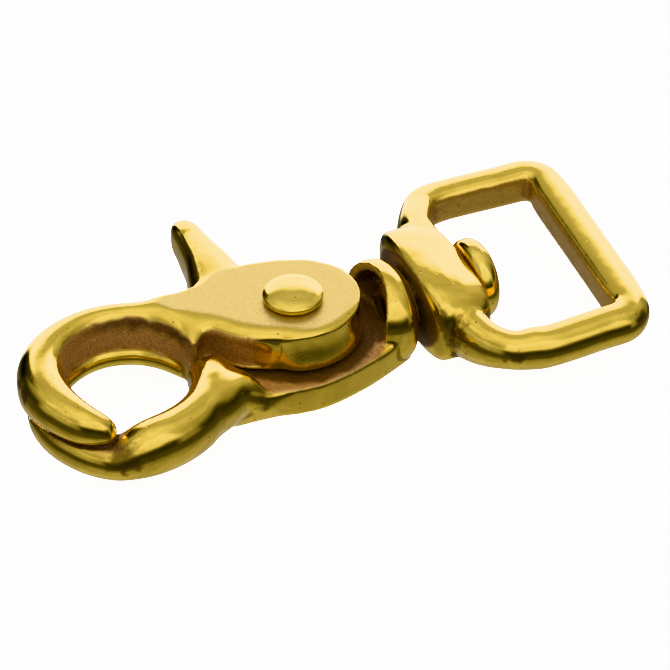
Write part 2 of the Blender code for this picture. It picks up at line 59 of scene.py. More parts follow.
# Sizes that follow the frame
TOP_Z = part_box("trigger")[1].z / MM
JAW_LOW_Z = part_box("trigger")[0].z / MM
PLATE_Z = 3.8
TRIGGER_LOW_Z = 4.2
RING = (-21.3, -1.85)
RING_RADIUS = 7.35
ROUND_END = (0.4, 0.4)
ROUND_END_RADIUS = 7.5
RECESS_RADIUS = 10.7
BOSS_X = 15.0
BOSS_LENGTH = 6.4
BOSS_MIDDLE_X = BOSS_X + BOSS_LENGTH / 2
BOSS_BACK_X = BOSS_X + BOSS_LENGTH
COLLAR_FRONT_X = 8.3
COLLAR_BACK_X = 14.4
COLLAR_END_X = 13.8
COLLAR_HALF = (6.4, 4.8)
CUP_HALF = (5.0, 3.95)
CUP_FLOOR_HALF = 4.0
PIN_TAIL_X = COLLAR_BACK_X - 1.6
RIVET_SHANK_RADIUS = 1.8
PIN_SHANK_RADIUS = 1.9


# ---------------------------------------------------------------- shaping tools

# How far one round of relaxing moves a point, and how finely its weight is told apart
SOFTENING = 0.5
WEIGHT_STEPS = 20


def fair(rows, steps):
    """Rows of numbers, filled in with this many steps between two of them on a smooth curve."""
    rows = [np.array(row, float) for row in rows]
    last = len(rows) - 1
    filled = []
    for i in range(last):
        a, b, c, d = (rows[min(max(i + k, 0), last)] for k in (-1, 0, 1, 2))
        for step in range(steps):
            t = step / steps
            filled.append(0.5 * (2 * b + (c - a) * t + (2 * a - 5 * b + 4 * c - d) * t**2
                                 + (3 * b - a - 3 * c + d) * t**3))
    return filled + [rows[-1]]


def polar(radius, degrees, x=0.0, y=0.0):
    """The point at this radius and angle from a middle."""
    angle = math.radians(degrees)
    return x + radius * math.cos(angle), y + radius * math.sin(angle)


def arc(x, y, radius, start, end, count):
    """Points along an arc, from the start angle to the end angle in degrees."""
    return [polar(radius, start + (end - start) * i / count, x, y) for i in range(count + 1)]


def squared(inner, outer, under=None):
    """A section that is round at 1 and squarer below it, inside, outside and underneath."""
    def shape(u, v):
        power = outer if u > 0 else inner
        if under and v < 0:
            power = under
        return math.copysign(abs(u) ** power, u), math.copysign(abs(v) ** power, v)
    return shape


def ring_edges(ring):
    """The edges of a ring of points, each once and in order."""
    return list(dict.fromkeys(e for v in ring for e in v.link_edges))


def bar(stations, shape, count=36, closed=False):
    """A bar through stations (x, y, z, half width, half height). Its outer side is on its right."""
    bm = bmesh.new()
    loops = []
    last = len(stations) - 1
    for i, (x, y, z, half_width, half_height) in enumerate(stations):
        before = stations[i - 1 if closed else max(i - 1, 0)][:3]
        after = stations[(i + 1) % len(stations) if closed else min(i + 1, last)][:3]
        along = (Vector(after) - Vector(before)).normalized()
        across = along.cross(Vector((0, 0, 1))).normalized()
        upward = across.cross(along).normalized()
        ring = bmesh.ops.create_circle(bm, segments=count, radius=1)["verts"]
        for v in ring:
            u, w = shape(v.co.x, v.co.y)
            v.co = Vector((x, y, z)) + across * u * half_width + upward * w * half_height
        loops.append(ring_edges(ring))
    if not closed:
        bmesh.ops.contextual_create(bm, geom=loops[0])
        bmesh.ops.contextual_create(bm, geom=loops[-1])
    for loop, following in zip(loops, loops[1:] + loops[:1] if closed else loops[1:]):
        bmesh.ops.bridge_loops(bm, edges=loop + following)
    return bm


def rounded_end(stations, length, steps=6):
    """Adds shrinking stations after the last one, which round the bar's end over this length."""
    x, y, z, half_width, half_height = stations[-1]
    end, inner = Vector((x, y, z)), Vector(stations[-2][:3])
    outward = (end - inner).normalized()
    result = list(stations)
    for step in range(1, steps + 1):
        angle = math.radians(84) * step / steps
        at = end + outward * length * math.sin(angle)
        result.append((*at, half_width * math.cos(angle), half_height * math.cos(angle)))
    return result


def prism(outline, low, high):
    """The outline, extruded from low to high."""
    bm = bmesh.new()
    floor = bm.faces.new([bm.verts.new((p[0], p[1], low)) for p in outline])
    raised = bmesh.ops.extrude_face_region(bm, geom=[floor])["geom"]
    bmesh.ops.translate(bm, verts=[v for v in raised if isinstance(v, bmesh.types.BMVert)],
                        vec=(0, 0, high - low))
    return bm


def turned(profile, axis="Z", middle=(0, 0, 0), stretch=(1, 1), shape=None, count=64):
    """A solid turned from a profile of (place along the axis, radius)."""
    bm = bmesh.new()
    points = [bm.verts.new((radius, 0, place)) for place, radius in profile]
    points.insert(0, bm.verts.new((0, 0, profile[0][0])))
    points.append(bm.verts.new((0, 0, profile[-1][0])))
    edges = [bm.edges.new(pair) for pair in zip(points, points[1:])]
    bmesh.ops.spin(bm, geom=points + edges, cent=(0, 0, 0), axis=(0, 0, 1),
                   angle=2 * math.pi, steps=count, use_merge=True)
    bmesh.ops.remove_doubles(bm, verts=bm.verts, dist=1e-5)
    for v in bm.verts:
        radius = math.hypot(v.co.x, v.co.y)
        if shape and radius > 1e-6:
            u, w = shape(v.co.x / radius, v.co.y / radius)
            v.co.x, v.co.y = u * radius, w * radius
        v.co.x *= stretch[0]
        v.co.y *= stretch[1]
    if axis == "X":
        turn = Matrix(((0, 0, 1, 0), (1, 0, 0, 0), (0, 1, 0, 0), (0, 0, 0, 1)))
        bmesh.ops.transform(bm, matrix=turn, verts=bm.verts)
    bmesh.ops.translate(bm, verts=bm.verts, vec=middle)
    return bm


def piece(name, *shapes):
    """An object that holds these shapes, with their faces pointing out."""
    whole = bmesh.new()
    mesh = bpy.data.meshes.new(name)
    for bm in shapes:
        bmesh.ops.recalc_face_normals(bm, faces=bm.faces)
        bm.to_mesh(mesh)
        whole.from_mesh(mesh)
        bm.free()
    whole.to_mesh(mesh)
    whole.free()
    made = bpy.data.objects.new(name, mesh)
    bpy.context.scene.collection.objects.link(made)
    return made


def applied(made):
    """Applies the object's modifiers."""
    graph = bpy.context.evaluated_depsgraph_get()
    graph.update()
    result = bpy.data.meshes.new_from_object(made.evaluated_get(graph))
    made.modifiers.clear()
    made.data = result
    return made


def remeshed(made, voxel, relax):
    """One even skin over all that overlaps in the mesh, relaxed as a casting's edges are."""
    skin = made.modifiers.new("skin", "REMESH")
    skin.mode = "VOXEL"
    skin.voxel_size = voxel
    soft = made.modifiers.new("soft", "SMOOTH")
    soft.factor = SOFTENING
    soft.iterations = relax
    return applied(made)


def relaxed(made, rounds, weight):
    """Relaxes the skin this many times: fully where weight(x, y, z) is 1, not at all at 0."""
    points, _, _ = mesh_arrays(made.data)
    amounts = np.round(np.clip(weight(*points.T), 0, 1) * WEIGHT_STEPS).astype(int)
    group = made.vertex_groups.new(name="relax")
    for amount in range(1, WEIGHT_STEPS + 1):
        chosen = np.nonzero(amounts == amount)[0].tolist()
        if chosen:
            group.add(chosen, amount / WEIGHT_STEPS, "REPLACE")
    soft = made.modifiers.new("soft", "SMOOTH")
    soft.factor = SOFTENING
    soft.iterations = rounds
    soft.vertex_group = "relax"
    applied(made)
    made.vertex_groups.clear()


def cut(made, tool):
    """Cuts the tool's shape away, and removes the tool."""
    modifier = made.modifiers.new("cut", "BOOLEAN")
    modifier.operation = "DIFFERENCE"
    modifier.object = tool
    modifier.solver = "MANIFOLD"
    applied(made)
    bpy.data.objects.remove(tool, do_unlink=True)


def taken(made):
    """The object's mesh, as a shape for another piece."""
    bm = bmesh.new()
    bm.from_mesh(made.data)
    bpy.data.objects.remove(made, do_unlink=True)
    return bm


def drill(made, radius, low, high, axis="Z", middle=(0, 0, 0), count=64):
    """Cuts a round hole from low to high along the axis."""
    tool = turned([(low, radius), (high, radius)], axis, middle, count=count)
    cut(made, piece("tool", tool))


# ---------------------------------------------------------------- snap body

HOOK_LOW_Z = 0.6
LAP_TOP_Z = 5.3


def hook_stations():
    """The hook's bar, from the shoulder round to its nose under the jaw."""
    # degrees round the ring, where the bar starts and ends across it, height of its top
    rows = ((2, -0.35, 5.6, 6.0), (-8, -0.45, 5.4, 6.7), (-20, -0.5, 5.2, 7.1),
            (-32, -0.55, 5.0, 7.2), (-44, -0.6, 5.0, 7.2), (-56, -0.7, 5.0, 7.2),
            (-68, -0.75, 5.05, 7.2), (-79, -0.75, 5.2, 7.2), (-90, -0.6, 5.4, 7.2),
            (-98, -0.4, 5.6, 7.0), (-104, -0.2, 5.7, 6.6), (-110, 0, 5.7, 6.0),
            (-117, 0, 5.7, LAP_TOP_Z), (-125, 0, 5.6, LAP_TOP_Z), (-134, 0, 5.4, LAP_TOP_Z),
            (-145, 0, 5.1, LAP_TOP_Z), (-157, 0, 4.9, LAP_TOP_Z), (-170, 0, 4.7, LAP_TOP_Z),
            (-183, 0, 4.5, LAP_TOP_Z), (-196, 0, 4.2, LAP_TOP_Z))
    stations = []
    for degrees, start, end, high in fair(rows, 3):
        x, y = polar(RING_RADIUS + (start + end) / 2, degrees, *RING)
        stations.append((x, y, (HOOK_LOW_Z + high) / 2, (end - start) / 2,
                         (high - HOOK_LOW_Z) / 2))
    return rounded_end(stations, 1.4)


def shoulder_stations():
    """The ridge that carries the hook's bar down into the plate, along the recess's wall."""
    rows = [(-14.2, -9.0, 3.7, 2.6, 3.1), (-12.2, -7.8, 3.75, 2.7, 3.15),
            (-10.6, -6.7, 3.6, 2.6, 3.1), (-9.3, -6.9, 3.3, 2.3, 2.8), (-8.2, -7.5, 2.7, 1.9, 2.3),
            (-7.0, -8.1, 2.2, 1.4, 1.8), (-5.8, -8.5, 2.0, 1.1, 1.5)]
    return fair(rows, 4)


def plate_outline():
    """Plan of the flat plate that the trigger lies on."""
    near = fair([(-12.4, -8.2), (-11.2, -8.75), (-9.2, -8.85), (-7.2, -9.0),
                 (-4.6, -9.3), (-0.7, -9.7), (2.8, -9.2), (7.0, -8.0), (10.0, -6.8),
                 (12.5, -5.7)], 5)
    far = fair([(12.5, 5.2), (8.5, 5.6), (6.0, 5.9), (2.0, 7.0), (-3.5, 7.6)], 4)
    return near + far + arc(0, 0, 10.9, 140, 198, 16) + [(-12.6, -5.5)]


def jaw_stations(grow=0.0, first=8):
    """The jaw's bar, from its root in the trigger's plate to its tip. grow makes it thicker."""
    # degrees round the ring, where the bar starts and ends across it, its low and high sides
    rows = ((8, 0.0, 3.0, 2.2, 9.05), (20, 0.0, 3.2, 2.2, 9.15), (32, 0.0, 3.43, 2.2, 9.2),
            (50, 0.0, 3.75, 2.2, 9.2), (70, 0.0, 3.85, 2.2, 9.2), (90, 0.0, 3.95, 2.2, 9.2),
            (110, 0.0, 4.3, 2.2, 9.2), (130, 0.0, 4.75, 2.2, 9.2),
            (150, -0.1, 5.2, 2.2, 9.2), (160, -0.25, 5.2, 2.6, 9.2), (175, -0.35, 5.2, 3.5, 9.2),
            (190, -0.25, 5.1, 4.2, 9.2), (205, 0.05, 4.94, 4.5, 9.1), (218, 0.4, 4.78, 4.5, 8.85),
            (229, 0.73, 4.32, 4.5, 8.4), (234, 0.99, 4.0, 4.55, 8.1))
    stations = []
    for degrees, start, end, low, high in fair([r for r in rows if r[0] >= first], 5):
        x, y = polar(RING_RADIUS + (start + end) / 2, degrees, *RING)
        stations.append((x, y, (low + high) / 2, (end - start) / 2 + grow,
                         (high - low) / 2 + grow))
    return rounded_end(stations, 1.2 + grow)


def jaw_foot_stations():
    """The swell along the foot of the jaw's inner wall, below the mould's parting line."""
    rows = ((12, -0.35, 2.3, 2.0, 4.4), (22, -0.6, 2.3, 1.8, 4.5), (40, -0.75, 2.4, 1.7, 4.5),
            (60, -0.8, 2.6, 1.7, 4.5), (90, -0.8, 3.0, 1.7, 4.5), (120, -0.75, 3.2, 1.8, 4.6),
            (140, -0.65, 2.8, 2.1, 4.8), (155, -0.55, 1.8, 2.6, 5.0))
    stations = []
    for degrees, start, end, low, high in fair(rows, 5):
        x, y = polar(RING_RADIUS + (start + end) / 2, degrees, *RING)
        stations.append((x, y, (low + high) / 2, (end - start) / 2, (high - low) / 2))
    return rounded_end(stations, 0.8)


def jaw_sweep():
    """The room that the jaw's tip needs over the hook, from shut to open."""
    tips = []
    for opened in (0, 3, 6, 10, 15, 21):
        tip = bar(jaw_stations(0.42, 150), squared(0.8, 0.85), 28)
        bmesh.ops.rotate(tip, verts=tip.verts, cent=(0, 0, 0),
                         matrix=Matrix.Rotation(math.radians(-opened), 3, "Z"))
        tips.append(tip)
    return remeshed(piece("sweep", *tips), 0.25, 2)


def collar_cup(u, v):
    """The cup's section: round above, and level with the recess's floor below."""
    return u, v if v > 0 else v * (SWIVEL_Z - PLATE_Z) / CUP_FLOOR_HALF


def make_body():
    """The casting of hook, plate and collar, with its recess, cup and holes."""
    high = TOP_Z + 2
    hook = remeshed(piece("hook", bar(hook_stations(), squared(0.85, 0.95)),
                          bar(shoulder_stations(), squared(0.9, 0.9), 28)), 0.22, 8)
    relaxed(hook, 50, lambda x, y, z: ramp(x, -15.5, -12.5) * ramp(y, -3.0, -4.5))
    cut(hook, piece("tool", prism([(-20, -2.35), (0, -2.35), (0, 12), (-20, 12)], -1, high)))
    plate = prism(plate_outline(), 0, PLATE_Z)
    low = [e for e in plate.edges if all(abs(v.co.z) < 1e-6 for v in e.verts)]
    bmesh.ops.bevel(plate, geom=low, offset=0.9, segments=8, profile=0.5, affect="EDGES",
                    material=-1, clamp_overlap=True)
    barrel = [(COLLAR_FRONT_X + (COLLAR_END_X - COLLAR_FRONT_X) * place, share)
              for place, share in fair(((0, 0.82), (0.12, 0.9), (0.3, 0.97), (0.45, 1),
                                        (0.6, 1), (0.74, 0.965), (0.85, 0.88), (0.94, 0.77),
                                        (1, 0.68)), 4)]
    collar = turned(barrel, "X", SWIVEL_AXIS, COLLAR_HALF, squared(1, 1, 0.45))
    body = remeshed(piece("snap_body", taken(hook), plate, collar), 0.2, 6)
    relaxed(body, 80, lambda x, y, z: (ramp(x, -15.5, -13.5) * ramp(x, -3.5, -6.0)
                                       * ramp(y, -6.0, -7.2) * ramp(z, -0.5, 0.3)))
    relaxed(body, 14, lambda x, y, z: ramp(x, 6.0, 8.0) * ramp(z, 5.5, 4.5) * ramp(y, 0, -3))
    drill(body, RECESS_RADIUS, PLATE_Z, high, count=144)
    cut(body, jaw_sweep())
    cup = turned([(COLLAR_FRONT_X - 1.5, 0.97), (12.4, 0.97), (12.9, 0.9), (13.1, 0.75)], "X",
                 SWIVEL_AXIS, CUP_HALF, collar_cup)
    cut(body, piece("tool", cup))
    # Room for the pin's tail, the pin's hole, the rivet's hole and its counterbore
    drill(body, 3.15, 11.2, 13.15, "X", SWIVEL_AXIS)
    drill(body, PIN_SHANK_RADIUS + 0.3, COLLAR_BACK_X - 4, COLLAR_BACK_X + 1, "X", SWIVEL_AXIS)
    drill(body, RIVET_SHANK_RADIUS + 0.3, -1, PLATE_Z + 1)
    drill(body, 3.2, -1, 1.3)
    return remeshed(body, 0.19, 3)


# ---------------------------------------------------------------- trigger

def round_end(grow=0.0):
    """The plate's round end, from behind the tooth; its near side can be grown."""
    points = []
    for degrees in np.linspace(-128, 8, 61):
        radius = ROUND_END_RADIUS + grow * ramp(degrees, -128, -108) * ramp(degrees, 8, -25)
        points.append(polar(radius, degrees, *ROUND_END))
    return points


def trigger_outline():
    """Plan of the trigger's plate, with the tooth that closes against the hook's shoulder."""
    ring = fair([(-18.6, 6.7), (-17.4, 5.3), polar(8.5, 42, *RING), polar(8.1, 28, *RING),
                 polar(7.7, 16, *RING), polar(7.4, 6, *RING)], 5)[:-1]
    tooth = fair([polar(7.4, 6, *RING), (-13.9, -1.35), (-13.3, -1.95), (-12.6, -1.95),
                  (-11.8, -1.0), (-10.9, -0.4), (-10.1, -1.0), (-9.2, -2.4), (-7.9, -3.7),
                  (-6.3, -4.65), (-4.9, -5.35)], 4)[:-1]
    end = round_end(0.55)
    far = fair([end[-1], (7.25, 3.2), (5.1, 5.6), (2.4, 7.1), (-0.4, 7.95), (-3.5, 8.3),
                (-8.0, 7.3), (-10.5, 6.8), (-12.4, 6.8), (-14.6, 7.3), (-16.6, 7.3),
                (-18.6, 6.7)], 5)[1:-1]
    return ring + tooth + end + far


def lever_section(u, v):
    """Flat on its left side, with a ridge along the parting line, and round on its right."""
    if u < 0:
        return -abs(u) ** 0.42 * (1 - 0.14 * abs(v)), math.copysign(abs(v) ** 0.42, v)
    return abs(u) ** 0.85, math.copysign(abs(v) ** 0.85, v)


def lever_stations():
    """The thumb lever's bar, from inside the plate to its rounded tip."""
    low, high = TRIGGER_LOW_Z - 0.6, TOP_Z - 0.05
    middle, half = (low + high) / 2, (high - low) / 2
    rows = ((-5.4, 4.5, middle, 4.5, half), (-5.6, 7.0, middle, 4.2, half),
            (-5.6, 9.5, middle, 3.45, half), (-5.45, 12.0, middle, 2.85, half * 0.98),
            (-5.5, 14.5, middle, 2.35, half * 0.95),
            (-5.55, 17.0, middle + 0.15, 1.95, half * 0.86))
    return rounded_end(fair(rows, 6), 3.9, 10)


# Where the flat top ends and its rolled near side begins, how wide the roll is, and how much
# the rubbing takes off the top
FLAT_END = ((-26.0, 9.5), (-19.5, 7.4), (-16.4, 6.1), (-13.8, 4.3), (-10.1, 0.5), (-6.4, -3.2),
            (-3.0, -5.4), (0.5, -6.5), (4.0, -5.8), (5.9, -4.3))
ROLL_WIDTH = 1.9
ROLL_SHARE = 5.2
RUBBED_OFF = 0.02


def past_flat(x, y):
    """How far each point is past the flat's near end, and 0 on the flat."""
    nearest = np.full(len(x), 1e9)
    side = np.zeros(len(x))
    path = fair(FLAT_END, 4)
    for (ax, ay), (bx, by) in zip(path, path[1:]):
        along = np.clip(((x - ax) * (bx - ax) + (y - ay) * (by - ay))
                        / ((bx - ax) ** 2 + (by - ay) ** 2), 0, 1)
        away = np.hypot(x - ax - along * (bx - ax), y - ay - along * (by - ay))
        cross = (bx - ax) * (y - ay) - (by - ay) * (x - ax)
        side = np.where(away < nearest, -np.sign(cross), side)
        nearest = np.minimum(away, nearest)
    return nearest * (side > 0)


def roll_over(made):
    """Lowers the top of the trigger past the end of its flat, in an even curve."""
    points, _, _ = mesh_arrays(made.data)
    x, y, z = points.T
    past = np.minimum(past_flat(x, y), ROLL_WIDTH) * ramp(x, 1.0, -4.0) * ramp(x, -21.0, -15.5)
    points[:, 2] -= past ** 2 / ROLL_SHARE * ramp(z, 5.5, 8.6)
    made.data.vertices.foreach_set("co", points.ravel())
    made.data.update()


def make_trigger():
    """The casting of plate, jaw and lever, rolled at its edges and rubbed flat on top."""
    trigger = remeshed(piece("trigger_casting", prism(trigger_outline(), JAW_LOW_Z, TOP_Z),
                             bar(jaw_stations(), squared(0.7, 0.75), 40),
                             bar(jaw_foot_stations(), squared(0.9, 0.8), 28),
                             bar(lever_stations(), lever_section, 40)), 0.2, 4)
    # The near edge of the top is rolled over widely, the far edge and the lever's foot a little
    roll_over(trigger)
    relaxed(trigger, 190, lambda x, y, z: (
        ramp(z, 6.0, 7.4) * np.maximum(ramp(y, 4.5, 1.0) * ramp(x, 7.4, 4.5),
                                       ramp(x, -13.0, -15.5) * ramp(z, 6.0, 7.4))))
    relaxed(trigger, 14, lambda x, y, z: ramp(z, 6.5, 8.0) * ramp(y, 12.0, 9.0))
    relaxed(trigger, 24, lambda x, y, z: (ramp(y, 5.8, 7.2) * ramp(y, 11.5, 9.5)))
    # The side is ground straight, and leaves a crisp lower edge on the rolled rim
    cut(trigger, piece("tool", prism(round_end() + [(14, 1.4), (14, -14), (-4.2, -14)], -1,
                                     TOP_Z + 2)))
    drill(trigger, 11.3, -1, TRIGGER_LOW_Z, count=144)
    # The rivet's hole and the spring's pocket
    drill(trigger, RIVET_SHANK_RADIUS + 0.35, 0, TOP_Z + 2)
    drill(trigger, 3.9, 0, 7.3)
    trigger = remeshed(trigger, 0.17, 3)
    top = TOP_Z - RUBBED_OFF
    bm = bmesh.new()
    bm.from_mesh(trigger.data)
    bmesh.ops.bisect_plane(bm, geom=bm.verts[:] + bm.edges[:] + bm.faces[:], dist=0.002,
                           plane_co=(0, 0, top), plane_no=(0, 0, 1))
    for v in bm.verts:
        v.co.z = min(v.co.z, top)
    bm.to_mesh(trigger.data)
    bm.free()
    return trigger


# ---------------------------------------------------------------- rivet, spring, pin

def make_rivet():
    """The rivet: a formed tail below, the shank, and a low domed head."""
    shank = RIVET_SHANK_RADIUS
    base = TOP_Z + 0.07
    dome = [(base + 0.2 + 1.07 * (0.3 + 0.7 * math.sin(math.radians(a))),
             3.5 * math.cos(math.radians(a))) for a in range(0, 88, 4)]
    profile = ([(0.0, 2.7), (0.06, 2.84), (0.2, 2.9), (0.8, 2.9), (0.94, 2.84), (1.0, 2.7),
                (1.0, shank), (base, shank), (base, 3.28), (base + 0.06, 3.42),
                (base + 0.16, 3.49)]
               + dome)
    return piece("rivet", turned(profile, count=128))


def make_spring():
    """Coils of wire round the rivet, under the trigger."""
    turns, pitch, radius = 2.25, 0.85, 3.3
    steps = 144
    coil = []
    for i in range(steps + 1):
        turn = 2 * math.pi * turns * i / steps
        coil.append((radius * math.cos(turn), radius * math.sin(turn),
                     PLATE_Z + 0.6 + pitch * turns * i / steps, 0.3, 0.3))
    return piece("spring", bar(coil, squared(1, 1), 14))


def make_pin():
    """The swivel pin: its tail in the collar, the shank, and a domed head behind the boss."""
    tail, base = PIN_TAIL_X, BOSS_BACK_X + 0.3
    head_length, head_radius = 3.25, 4.8
    head = [(base + head_length * place, head_radius * share) for place, share in fair(
        ((0, 0.9), (0.08, 0.96), (0.22, 1), (0.5, 0.995), (0.74, 0.88), (0.9, 0.66),
         (0.97, 0.4), (0.995, 0.18), (1, 0.04)), 5)]
    profile = [(tail - 1.2, 2.2), (tail - 1.1, 2.55), (tail - 0.8, 2.85), (tail, 2.85),
               (tail, PIN_SHANK_RADIUS), (base, PIN_SHANK_RADIUS)] + head
    return piece("pin", turned(profile, "X", SWIVEL_AXIS, count=128))


# ---------------------------------------------------------------- eye

EYE_MIDDLE_Y = SWIVEL_Y + 0.15


def eye_side(sign):
    """Half of the eye's bar, from beside the pin's hole to the middle of the cross bar."""
    boss_x = BOSS_MIDDLE_X
    cross, side_y, corner = 37.6, 15.1 if sign > 0 else 15.2, 2.7
    end_y = side_y - 0.35
    near = sign < 0
    # along, across, half width, half height
    rows = [(boss_x, 3.8, 2.8, 3.8)]
    if near:
        rows += [(boss_x - 0.2, 7.2, 2.4, 3.5), (boss_x + 0.1, 9.8, 2.2, 3.1),
                 (boss_x + 1.0, 12.2, 2.05, 2.6), (boss_x + 2.9, 14.2, 2.0, 2.25)]
    else:
        rows += [(boss_x + 1.1, 7.0, 2.5, 3.7), (boss_x + 1.6, 9.6, 2.2, 3.4),
                 (boss_x + 2.7, 11.9, 2.1, 3.0), (boss_x + 4.0, 13.8, 2.1, 2.5)]
    rows += [(boss_x + 5.3, 14.8, 2.2, 2.4),
            (boss_x + 7.8, side_y, 2.2, 2.3), (cross - corner - 2.5, end_y + 0.05, 2.2, 2.3)]
    rows += [(*place, 2.25, 2.3)
             for place in arc(cross - corner, end_y - corner, corner, 90, 0, 5)]
    rows += [(cross, end_y - corner - 2.5, 2.5, 2.3), (cross, 4.0, 2.5, 2.3)]
    stations = []
    for x, y, half_width, half_height in fair(rows, 5):
        lean = 0.06 * sign * y * max(x - boss_x - 5, 0) / (cross - boss_x - 5)
        sag = 0.7 * near * max(half_height - 2.3, 0) / 1.2
        stations.append((x + lean, EYE_MIDDLE_Y + y * sign, SWIVEL_Z - sag, half_width,
                         half_height))
    return stations


def boss_stations():
    """The boss: a wide bevel at its front, its crown behind that, and a tapered back."""
    rows = ((14.15, 5.8, 4.1), (14.25, 6.5, 4.4), (14.5, 7.7, 4.65), (14.85, 8.6, 4.8),
            (15.2, 9.0, 4.82), (16.2, 9.15, 4.82), (17.4, 9.1, 4.74), (18.8, 9.0, 4.5),
            (20.0, 8.8, 4.15), (20.9, 8.6, 3.85), (21.3, 8.4, 3.65), (BOSS_BACK_X, 8.1, 3.45))
    return [(x, SWIVEL_Y + 0.4, SWIVEL_Z, half_width, half_height)
            for x, half_width, half_height in rows]


def eye_section(u, v):
    """The bar's section: round outside, and ground flat on the inner wall."""
    u, v = squared(0.6, 0.95)(u, v)
    return max(u, -0.92), v


def make_eye():
    """The casting of boss, side bars and cross bar, blended where the bars leave the boss."""
    loop = bar(eye_side(-1) + eye_side(1)[::-1], eye_section, 36, closed=True)
    boss = bar(boss_stations(), squared(0.64, 0.64, 0.38), 96)
    eye = remeshed(piece("eye", loop, boss), 0.19, 4)
    relaxed(eye, 60, lambda x, y, z: (ramp(x, 16.0, 17.2) * ramp(np.abs(y - SWIVEL_Y), 5.0, 7.5)
                                      * ramp(x, 24.0, 22.0)))
    relaxed(eye, 8, lambda x, y, z: ramp(x, 22.0, 23.0))
    drill(eye, PIN_SHANK_RADIUS + 0.35, BOSS_X - 2, BOSS_BACK_X + 2, "X", SWIVEL_AXIS)
    return remeshed(eye, 0.18, 3)


# ---------------------------------------------------------------- surface

# How far below its neighbours a point is in a full crease, and the depth of the skin's swell
CREASE_DROP = 0.004
SWELL_DEPTH = 0.016


def mesh_arrays(mesh):
    """The mesh's points in millimetres from the pivot, its normals, and its edges' ends."""
    points = np.empty(len(mesh.vertices) * 3, np.float32)
    normals = np.empty(len(mesh.vertices) * 3, np.float32)
    edges = np.empty(len(mesh.edges) * 2, np.int32)
    mesh.vertices.foreach_get("co", points)
    mesh.vertices.foreach_get("normal", normals)
    mesh.edges.foreach_get("vertices", edges)
    return points.reshape(-1, 3), normals.reshape(-1, 3), edges.reshape(-1, 2)


def blurred(values, edges, rounds):
    """Values at the points, each evened with its neighbours' this many times."""
    count = np.bincount(edges.ravel(), minlength=len(values))
    for _ in range(rounds):
        total = (np.bincount(edges[:, 0], values[edges[:, 1]], len(values))
                 + np.bincount(edges[:, 1], values[edges[:, 0]], len(values)))
        values = (values + total / np.maximum(count, 1)) / 2
    return values


def hollows(points, normals, edges):
    """How hollow the surface is at each point: 1 in a crease, 0 on the flat, -1 on an edge."""
    count = np.maximum(np.bincount(edges.ravel(), minlength=len(points)), 1)
    drop = np.zeros(len(points))
    for i in range(3):
        total = (np.bincount(edges[:, 0], points[edges[:, 1], i], len(points))
                 + np.bincount(edges[:, 1], points[edges[:, 0], i], len(points)))
        drop += (total / count - points[:, i]) * normals[:, i]
    return blurred(np.clip(drop / CREASE_DROP, -1, 1), edges, 3)


def ramp(values, start, end):
    """0 before start and 1 after end, with a smooth step between them."""
    t = np.clip((values - start) / (end - start), 0, 1)
    return t * t * (3 - 2 * t)


def ripple(points, size, seed):
    """Noise from -1 to 1 with features of this size."""
    shift = Vector((seed * 7.3, seed * 3.1, seed * 5.7))
    return np.array([noise.noise(Vector(p) / size + shift) for p in points.tolist()])


def carve(mesh, normals, depth):
    """Moves each point along its normal by this depth in millimetres."""
    points = np.empty(len(mesh.vertices) * 3, np.float32)
    mesh.vertices.foreach_get("co", points)
    points = points.reshape(-1, 3) + normals * depth[:, None]
    mesh.vertices.foreach_set("co", points.astype(np.float32).ravel())
    mesh.update()


def paint(mesh, name, values):
    """Keeps a value at each point, for the materials to read."""
    layer = mesh.attributes.new(name, "FLOAT", "POINT")
    layer.data.foreach_set("value", np.asarray(values, np.float32))


def spots(points, places):
    """Ragged dark spots: each place is a middle and a radius."""
    edge = 0.8 * ripple(points, 1.3, 8) + 0.5 * ripple(points, 0.5, 9)
    total = np.zeros(len(points))
    for *middle, radius in places:
        away = np.linalg.norm(points - np.array(middle), axis=1) / radius
        total = np.maximum(total, 0.8 * ramp(away + edge, 1.2, 0.5))
    return total


def weather(made, raw, dark_and_shade, rubbed=None):
    """Gives a casting its uneven skin, and marks its raw, rubbed and hollow places, and its dark
    places: old skin and painted shade.
    """
    mesh = made.data
    points, normals, edges = mesh_arrays(mesh)
    rubbed = np.zeros(len(points)) if rubbed is None else rubbed
    raw = blurred(np.clip(raw, 0, 1) * (1 - rubbed), edges, 2)
    rubbed = blurred(rubbed, edges, 1)
    swell = ripple(points, 3.6, 1) + 0.3 * ripple(points, 1.5, 2)
    grains = 0.045 * raw * ripple(points, 0.42, 3) + 0.03 * raw * ripple(points, 0.9, 4)
    carve(mesh, normals, SWELL_DEPTH * swell * (1 - rubbed) + grains)
    paint(mesh, "raw", raw)
    paint(mesh, "dark_and_shade", np.clip(dark_and_shade, 0, 1))
    paint(mesh, "rubbed", rubbed)
    paint(mesh, "hollow", np.clip(hollows(points, normals, edges), -1, 1))
    return made


# Dark spots: middle and radius
BODY_SPOTS = ((-26.6, -13.1, 4.6, 1.7), (-25.2, -13.9, 4.4, 1.3), (-7.6, -8.6, 3.0, 1.1),
              (13.4, -5.6, 7.6, 0.6))
TRIGGER_SPOTS = ((-33.4, -1.5, 7.6, 0.9), (-33.5, 1.0, 7.2, 0.8), (-32.2, -5.0, 7.4, 0.6),
                 (-33.0, -3.4, 7.0, 0.7))
EYE_SPOTS = ((15.0, -8.5, 7.1, 1.2), (15.2, -9.0, 5.6, 1.3), (16.7, -9.4, 5.6, 1.6),
             (16.8, -9.5, 4.3, 1.5), (16.4, -9.2, 2.2, 0.7), (14.6, 7.6, 8.2, 1.8),
             (21.0, -16.2, 5.4, 0.8), (19.6, -15.3, 5.0, 0.5), (39.4, -12.6, 5.6, 1.0),
             (40.0, -11.4, 5.2, 0.7))


